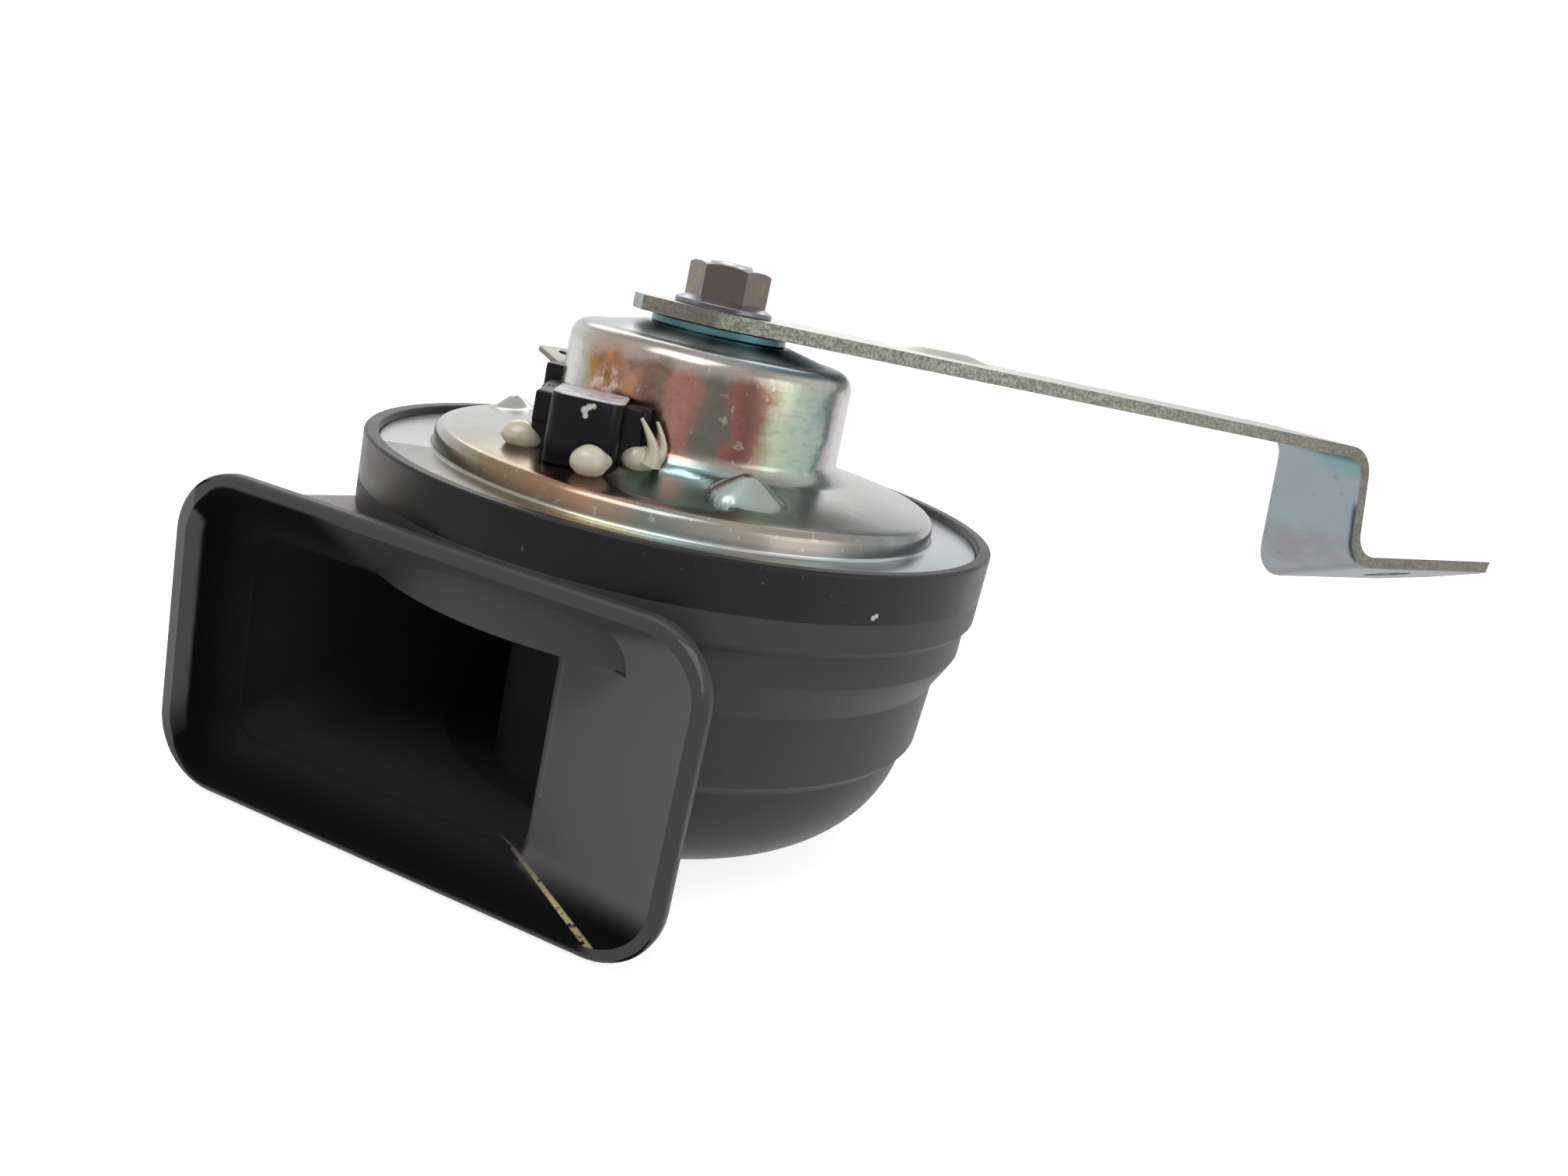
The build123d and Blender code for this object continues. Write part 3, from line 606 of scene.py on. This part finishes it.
# ---- bracket: strap, web and a foot that leans across the strap
ARM_LEN, WEB_DROP, WEB_LEAN, WEB_SKEW = 120.7, 21.7, 5.4, 0.5
FOOT_LEN, HOLE_X, HOLE_R = 40.9, 23.9, 4.25
STUD_CLEAR_R = 3.3                       # hole for the M6 stud
ROLL_SLOPE, RISE_SLOPE = math.tan(math.radians(-21.7)), math.tan(math.radians(4.6))
BEND_TOP, BEND_FOOT = 4.5, 5.4           # inner radii of the two bends
STRAP_END, FLAT_END, END_TAPER = -12.3, 2.2, 8.1    # strap's end, its flat half width, its taper
FOOT_SQUARE = (-7, 4)                    # part of the foot's tip that is cut square
STRAP_ROWS = (-10, -7, -4.5, -2.2, 0, 2.2, 4, 7, 10)
web_x = ARM_LEN + WEB_LEAN
hole_at = web_x + HOLE_X
foot_z = SEAT_Z - WEB_DROP
foot_t = STRAP_T * math.sqrt(1 + RISE_SLOPE ** 2 + ROLL_SLOPE ** 2)


def edge_view(y):
    """Side view of the strap at one line across it, as (x, z) points, lower side then upper."""
    def under(x):
        return foot_z + RISE_SLOPE * (x - hole_at) + ROLL_SLOPE * y
    bend_x = ARM_LEN + WEB_SKEW * y / HALF_W
    run, drop = web_x - bend_x, under(web_x) - SEAT_Z
    long = math.hypot(run, drop)
    off_x, off_z = bend_x - STRAP_T * drop / long, SEAT_Z + STRAP_T * run / long
    slant = run / drop
    up_x = off_x + slant * (SEAT_Z + STRAP_T - off_z)
    low_x = (off_x + slant * (under(0) + foot_t - off_z)) / (1 - slant * RISE_SLOPE)
    tip_x = web_x + FOOT_LEN - max(0.0, FOOT_SQUARE[0] - y) - max(0.0, y - FOOT_SQUARE[1])
    start = STRAP_END + max(abs(y) - FLAT_END, 0.0) / (HALF_W - FLAT_END) * END_TAPER
    return rounded([
        (start, SEAT_Z, 0), (bend_x, SEAT_Z, BEND_TOP),
        (web_x, under(web_x), BEND_FOOT + STRAP_T), (tip_x, under(tip_x), 0),
        (tip_x, under(tip_x) + foot_t, 0), (low_x, under(low_x) + foot_t, BEND_FOOT),
        (up_x, SEAT_Z + STRAP_T, BEND_TOP + STRAP_T), (start, SEAT_Z + STRAP_T, 0),
    ])


bm = bmesh.new()
rows = [[bm.verts.new((x, y, z)) for x, z in edge_view(y)] for y in STRAP_ROWS]
for near_row, far_row in zip(rows, rows[1:]):
    band(bm, near_row, far_row)
for row in (rows[0], rows[-1]):
    half = len(row) // 2
    band(bm, row[:half], row[half:][::-1], closed=False)
strap_ob = link_piece("strap", bm, strap, "bracket")

# pressed rib on the strap's upper side, an ellipse about (38, 4)
RIB_X, RIB_Y, RIB_LONG, RIB_WIDE, RIB_STEPS = 38.0, 4.0, 1.1, 0.42, 72
rib_side = rounded(
    [(0, -0.6, 0), (9.0, -0.6, 0), (9.0, 0, 0), (5.0, 0.9, 6.0), (0, 0.9, 0)], 6)[1:-1]
bm = bmesh.new()
loops = []
for k in range(RIB_STEPS):
    a = 2 * math.pi * k / RIB_STEPS
    dx, dy = RIB_LONG * math.cos(a), RIB_WIDE * math.sin(a)
    loops.append([bm.verts.new((RIB_X + dx * r, RIB_Y + dy * r, SEAT_Z + STRAP_T + z))
                  for r, z in rib_side])
for loop, following in zip(loops, loops[1:] + loops[:1]):
    band(bm, loop, following, closed=False)
bm.faces.new([loop[0] for loop in loops][::-1])
bm.faces.new([loop[-1] for loop in loops])
bmesh.ops.recalc_face_normals(bm, faces=bm.faces[:])
cut_or_join(strap_ob, [solid("pressed_rib", bm)], "UNION")
hole_up = Vector((-RISE_SLOPE, -ROLL_SLOPE, 1)).normalized()
cut_or_join(strap_ob, [
    cutter("stud_hole", (0, 0, SEAT_Z + 1), (0, 0, 1), STUD_CLEAR_R, 6, 64),
    cutter("foot_hole", (hole_at, 0, foot_z), hole_up, HOLE_R, 12, 64),
], "DIFFERENCE")

# ---- housing: flange, raised disc with its pressed forms, cup and boss
STUD_HOLE_R = 3.6
TURNS = 360                              # steps round the horn axis
SPAN, PRESSED_SPAN = 4.0, 0.7            # longest spans of the section, plain and pressed
skin = rounded([
    (SEAT_R, FLANGE_TOP, 0.3), (DISC_R + 0.3, FLANGE_TOP, 0.5), (DISC_R, DISC_Z, 1.4),
    (CUP_R + 1.6, DOME_Z, 2.4), (CUP_R + 0.4, DOME_Z + 1.8, 1.6), (CUP_R, CUP_Z, 2.6),
    (CUP_R - 3.9, CUP_Z + 0.4, 1.5), (BOSS_R, BOSS_Z, 0.8), (STUD_HOLE_R, BOSS_Z, 0),
    (STUD_HOLE_R, BOSS_Z - SHEET, 0), (BOSS_R - 0.8, BOSS_Z - SHEET, 0.5),
    (CUP_R - 4.7, CUP_Z + 0.4 - SHEET, 1.0), (CUP_R - SHEET, CUP_Z - SHEET, 1.4),
    (CUP_R + 0.4 - SHEET, DOME_Z + 1.4, 0.8), (CUP_R + 0.7, DOME_Z - SHEET, 1.0),
    (DISC_R - SHEET, DISC_Z - SHEET, 0.5), (DISC_R - SHEET, FLANGE_TOP - SHEET, 0.4),
    (SEAT_R, FLANGE_TOP - SHEET, 0),
], 6)
# shorter spans where the disc is pressed, on the outer side alone
bore_top = min(i for i, (r, _) in enumerate(skin) if r < STUD_HOLE_R + 0.4)
section = []
for i, (r, z) in enumerate(skin):
    if i == bore_top:
        last_outer = len(section)
    section.append((r, z))
    next_r, next_z = skin[(i + 1) % len(skin)]
    longest = PRESSED_SPAN if i < bore_top and DISC_Z - 0.1 < z < DOME_Z + 0.1 else SPAN
    parts = int(math.hypot(next_r - r, next_z - z) / longest)
    section += [(r + (next_r - r) * k / parts, z + (next_z - z) * k / parts)
                for k in range(1, parts)]

# pressed forms: angle about the horn axis, distance from it, size along and across, height
MID_R = (DISC_R + CUP_R) / 2 - 0.6
HILLS = ((-93.5, MID_R - 1.2, 9.0, 10.2, 2.6), (143.0, MID_R + 1.6, 6.4, 7.0, 2.1))
SCOOP = (-113.0, MID_R, 10.8, 17.2, 1.3)


def in_form(x, y, angle, distance, along, across):
    """A point of the disc in the frame of a pressed form, 1 at the form's edge."""
    a = math.radians(angle)
    return ((x * math.cos(a) + y * math.sin(a) - distance) / (along / 2),
            (-x * math.sin(a) + y * math.cos(a)) / (across / 2))


def pressed(x, y):
    """Height of the disc's pressed forms at a point: blunt cones, and a scoop beside them."""
    up = max(high * min(1.2 * max(1.0 - math.hypot(*in_form(x, y, *form)), 0.0), 1.0)
             for *form, high in HILLS)
    if up >= 0.02:
        return up
    u, v = in_form(x, y, *SCOOP[:4])
    return up - SCOOP[4] * math.sqrt(max(1.0 - u * u - v * v, 0.0))


bm = bmesh.new()
loops = []
for t in range(TURNS):
    a = 2 * math.pi * t / TURNS
    ring = []
    for i, (r, z) in enumerate(section):
        x, y = r * math.cos(a), r * math.sin(a)
        on_disc = i <= last_outer and CUP_R + 1.4 < r < DISC_R - 0.4 and z < DOME_Z + 0.6
        ring.append(bm.verts.new((x, y, z + pressed(x, y) if on_disc else z)))
    loops.append(ring)
for loop, following in zip(loops, loops[1:] + loops[:1]):
    band(bm, loop, following)
link_piece("pressed_housing", bm, zinc, "housing", 50.0)

# ---- terminal base and blade, square to a frame turned about the horn axis
base_turn = Matrix.Rotation(math.radians(-BASE_TURN), 3, "Z")


def bevel(bm, edges, size, segments):
    bmesh.ops.bevel(bm, geom=edges, offset=size, segments=segments, profile=0.5, affect="EDGES")


def soft_block(xs, ys, zs, edge, upright=0.0, pick=None):
    """Moulded block with soft edges, and larger rounds on the picked upright ones."""
    bm = bmesh.new()
    bmesh.ops.create_cube(bm, size=1.0)
    for v in bm.verts:
        v.co = Vector((xs[v.co.x > 0], ys[v.co.y > 0], zs[v.co.z > 0]))
    if upright:
        bevel(bm, [e for e in bm.edges if abs(e.verts[0].co.z - e.verts[1].co.z) > 1
                   and pick(*e.verts[0].co[:2])], upright, 6)
    bevel(bm, [e for e in bm.edges if e.calc_face_angle(0) > 0.6], edge, 3)
    for v in bm.verts:
        v.co = base_turn @ v.co
    return solid("block", bm)


def at_front(x, y):
    return y < -20


def at_left(x, y):
    return x < -20


base_ob = soft_block((-18.2, -9.2), (-27.2, -18.0), (9.0, 17.9), 0.45, 2.2, at_front)
base_ob.name = base_ob.data.name = "moulded_base"
scene.collection.objects.link(base_ob)
cut_or_join(base_ob, [
    soft_block((-20.5, -12.0), (-22.6, -14.0), (12.8, 17.0), 0.4),
    soft_block((-12.0, -6.2), (-23.0, -14.0), (9.0, 17.2), 0.35, 1.2, at_front),
    soft_block((-20.8, -8.0), (-20.0, -10.0), (9.0, 16.2), 0.4),
    soft_block((-21.4, -15.0), (-12.0, 0.0), (9.0, 16.4), 0.4),
    soft_block((-22.6, -15.0), (-2.4, 5.2), (9.0, 18.3), 0.4, 0.8, at_left),
], "UNION")
cup_side = cutter("cup_side", (0, 0, 14), (0, 0, 1), CUP_R + 0.12, 14, 180)
cut_or_join(base_ob, [cup_side], "DIFFERENCE")
dress(base_ob, gloss, "terminal_base", 30.0)

# blade: a 6.3 x 0.8 mm tab with clipped corners and a small hole, leaning out of the post
TAB_W, TAB_T, TAB_FOOT, TAB_TOP, TAB_CORNER = 6.3, 0.8, -1.6, 8.5, 0.4
TAB_AT, TAB_TURN, TAB_LEAN = (-20.0, -0.3, 17.7), math.radians(40), math.radians(13)
TAB_HOLE_R, TAB_HOLE_Y = 0.8, 6.3
tab = [(0, TAB_FOOT), (TAB_W, TAB_FOOT), (TAB_W, TAB_TOP - TAB_CORNER),
       (TAB_W - TAB_CORNER, TAB_TOP), (TAB_CORNER, TAB_TOP), (0, TAB_TOP - TAB_CORNER)]
bm = bmesh.new()
low = [bm.verts.new((x, y, -TAB_T)) for x, y in tab]
high = [bm.verts.new((x, y, 0)) for x, y in tab]
bm.faces.new(low[::-1])
bm.faces.new(high)
band(bm, low, high)
bevel(bm, bm.edges[:], 0.1, 2)
lean = Matrix.Rotation(TAB_TURN, 4, "Z") @ Matrix.Rotation(TAB_LEAN, 4, "X")
tab_pose = base_turn.to_4x4() @ (Matrix.Translation(TAB_AT) @ lean)
bmesh.ops.transform(bm, matrix=tab_pose, verts=bm.verts[:])
tab_ob = link_piece("blade_tab", bm, blade, "blade_terminal", 30.0)
tab_hole = cutter("tab_hole", tab_pose @ Vector((TAB_W / 2, TAB_HOLE_Y, -TAB_T / 2)),
                  tab_pose.to_3x3() @ Vector((0, 0, 1)), TAB_HOLE_R, 4, 32)
cut_or_join(tab_ob, [tab_hole], "DIFFERENCE")


# ---- beads of sealant, each an uneven drop with its own lean
def drop(name, node_name, centre, half, phase, lobes):
    """Sealant drop: a sphere drawn out by lobes, each (direction, reach, sharpness)."""
    centre = base_turn @ Vector(centre)
    bm = bmesh.new()
    bmesh.ops.create_icosphere(bm, subdivisions=5, radius=1.0)
    for v in bm.verts:
        d = v.co.normalized()
        r = 1.0 + sum(reach * max(d.dot(Vector(lobe).normalized()), 0.0) ** sharp
                      for lobe, reach, sharp in lobes)
        r += (0.025 * math.sin(5.1 * d.x + phase) * math.sin(4.3 * d.y + 2 * phase)
              * math.cos(4.7 * d.z))
        squat = 1.0 if d.z > 0 else 0.8
        v.co = centre + Vector((d.x * half[0], d.y * half[1], d.z * half[2] * squat)) * r
    link_piece(name, bm, seal, node_name, 180.0)


drop("bead_left", "sealing_bead_left", (-21.9, -18.8, 10.3), (2.55, 2.3, 2.0), 0.7,
     [((1.0, -0.5, -0.2), 0.24, 3)])
drop("bead_front", "sealing_bead_front", (-12.1, -28.2, 10.4), (2.3, 2.15, 2.2), 1.9,
     [((1.0, 0.1, 0.2), 0.26, 14), ((-0.8, -0.3, 0.1), 0.06, 3)])
drop("bead_right", "sealing_bead_right", (-6.8, -22.2, 10.9), (2.2, 1.8, 1.85), 3.1,
     [((0.3, 0.6, 1.0), 0.12, 4), ((1.0, -0.2, -0.5), 0.18, 6)])


def strand(name, *points):
    """Smear of sealant drawn up a wall: a soft tube through (x, y, z, radius) points."""
    curve = bpy.data.curves.new(name, "CURVE")
    curve.dimensions = "3D"
    curve.bevel_depth = MM
    curve.bevel_resolution = 6
    curve.use_fill_caps = True
    line = curve.splines.new("NURBS")
    line.points.add(len(points) - 1)
    for q, (*co, width) in zip(line.points, points):
        q.co = (*world_at(*(base_turn @ Vector(co))), 1.0)
        q.radius = width
    line.order_u = 3
    line.use_endpoint_u = True
    line.resolution_u = 10
    ob = bpy.data.objects.new(name, curve)
    scene.collection.objects.link(ob)
    curve.materials.append(seal.owner)
    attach(ob, "root")


strand("smear_tall", (-5.2, -22.9, 10.9, 1.5), (-4.8, -23.1, 12.4, 0.8),
       (-5.9, -23.3, 14.6, 0.45), (-7.2, -23.25, 16.3, 0.22))
strand("smear_short", (-4.9, -21.9, 10.9, 1.2), (-3.7, -21.5, 12.2, 0.6),
       (-4.3, -21.4, 14.3, 0.4), (-5.3, -21.4, 16.0, 0.2))

# ---- faces of the trumpet that look into the flare, the duct or the bowl
# voids of the flare and duct, as x and z limits at their near and far ends, and y and depth
FLARE = ((-45.4, 25.8, -41.1, -2.0), (-43.0, 4.7, -39.1, -9.4))
FLARE_DEEP = 9.2
DUCT = ((-42.7, 4.3, -38.8, -9.6), (-36.5, -7.9, -35.5, -7.3))
DUCT_Y, DUCT_DEEP = -36.9, 49.4
BOWL_TOP, BOWL_FLOOR, BOWL_R, BOWL_FILLET = -0.1, -38.5, 39.4, 14.5
FILLET_R, FILLET_Z = 23.2, -24.1         # centre of the round between the bowl's wall and floor


def within(x, z, share, ends):
    """Whether a point lies in a tapering void, some share of the way along it."""
    x0, x1, z0, z1 = (a + (b - a) * share for a, b in zip(*ends))
    return x0 < x < x1 and z0 < z < z1


def looks_inward(x, y, z, normal_y):
    """Whether a face, placed and turned in the mouth's frame, lines a void."""
    share = (y - MOUTH_Y) / FLARE_DEEP
    if share < 1.0:
        on_lip = share <= 0.2 and normal_y <= -0.97
        return not on_lip and within(x, z, share, FLARE)
    share = (y - DUCT_Y) / DUCT_DEEP
    r = math.hypot(x, y)
    corner = math.hypot(max(r - FILLET_R, 0.0), max(FILLET_Z - z, 0.0))
    in_bowl = BOWL_FLOOR < z < BOWL_TOP and r < BOWL_R and corner < BOWL_FILLET
    return in_bowl or (share < 1.0 and within(x, z, share, DUCT))


trumpet = nodes["snail_body"].data
to_mouth = Matrix.Rotation(math.radians(MOUTH_TURN), 3, "Z")
flags = trumpet.attributes.new("inside", "FLOAT", "FACE")
for i, poly in enumerate(trumpet.polygons):
    just_off = to_mouth @ (poly.center + poly.normal * 0.5 * MM - AX) / MM
    flags.data[i].value = float(looks_inward(*just_off, (to_mouth @ poly.normal).y))

# ------------------------------------------------------------ stage
FLOOR_AT, FLOOR_HALF = (-0.1, 0, -0.0505), 3.0     # metres: just under the trumpet
bm = bmesh.new()
bmesh.ops.create_grid(bm, x_segments=2, y_segments=2, size=FLOOR_HALF)
floor_me = bpy.data.meshes.new("floor")
bm.to_mesh(floor_me)
bm.free()
floor = bpy.data.objects.new("floor", floor_me)
floor.location = FLOOR_AT
scene.collection.objects.link(floor)
WHITE = (1, 1, 1)


def seen_by(g, *rays):
    """Mask of the named kinds of ray."""
    path = g.node("ShaderNodeLightPath")
    return g.most(*(path.outputs[f"Is {ray} Ray"] for ray in rays))


def shader(g, kind, colour, strength):
    n = g.node(kind)
    g.feed(n.inputs["Color"], colour)
    g.feed(n.inputs["Strength"], strength)
    return n.outputs[0]


def mixed(g, kind, *values):
    n = g.node(kind)
    for socket, v in zip(n.inputs, values):
        g.feed(socket, v)
    return n.outputs[0]


# floor: lit and shaded for the camera, plain white in reflections and through glass
g = material("floor_white")
g.surface((0.8, 0.8, 0.8), 0.9)
lit = g.bsdf.outputs["BSDF"]
glow = mixed(g, "ShaderNodeAddShader", lit, shader(g, "ShaderNodeEmission", WHITE, 0.8))
shown = mixed(g, "ShaderNodeMixShader", seen_by(g, "Camera"), lit, glow)
shown = mixed(g, "ShaderNodeMixShader", seen_by(g, "Glossy", "Transmission"), shown,
              shader(g, "ShaderNodeEmission", WHITE, 1.0))
g.feed(g.tree.nodes["Material Output"].inputs["Surface"], shown)
floor.data.materials.append(g.owner)

# world: soft grey light, white to the camera and in reflections
scene.world = bpy.data.worlds.new("world")
g = Graph(scene.world)
height = g.node("ShaderNodeSeparateXYZ")
g.feed(height.inputs["Vector"], g.node("ShaderNodeTexCoord").outputs["Generated"])
sky = g.ramp(height.outputs["Z"], [(0.0, (0.55, 0.55, 0.55)), (0.35, (0.45, 0.45, 0.46)),
                                   (0.6, (0.62, 0.63, 0.65)), (1.0, (0.85, 0.86, 0.88))])
backdrop = mixed(g, "ShaderNodeMixShader", seen_by(g, "Camera", "Glossy", "Transmission"),
                 shader(g, "ShaderNodeBackground", sky, 0.6),
                 shader(g, "ShaderNodeBackground", WHITE, 1.0))
g.feed(g.tree.nodes["World Output"].inputs["Surface"], backdrop)


def area(name, offset, size, power):
    """Rectangular lamp aimed at the horn, its place given from the horn axis in metres."""
    lamp = bpy.data.lights.new(name, "AREA")
    lamp.shape = "RECTANGLE"
    lamp.size, lamp.size_y = size
    lamp.energy = power
    ob = bpy.data.objects.new(name, lamp)
    scene.collection.objects.link(ob)
    ob.location = AX + Vector(offset)
    ob.rotation_euler = (-Vector(offset)).to_track_quat("-Z", "Y").to_euler()


area("key", (-0.35, -0.25, 0.75), (0.6, 0.5), 3.6)
area("fill", (0.45, -0.65, 0.25), (0.5, 0.5), 1.1)
area("back", (0.15, 0.7, 0.5), (0.7, 0.3), 1.8)
vs = bpy.context.scene.view_settings
vs.view_transform = "Standard"

for name in use:
    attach(nodes[name], "root")
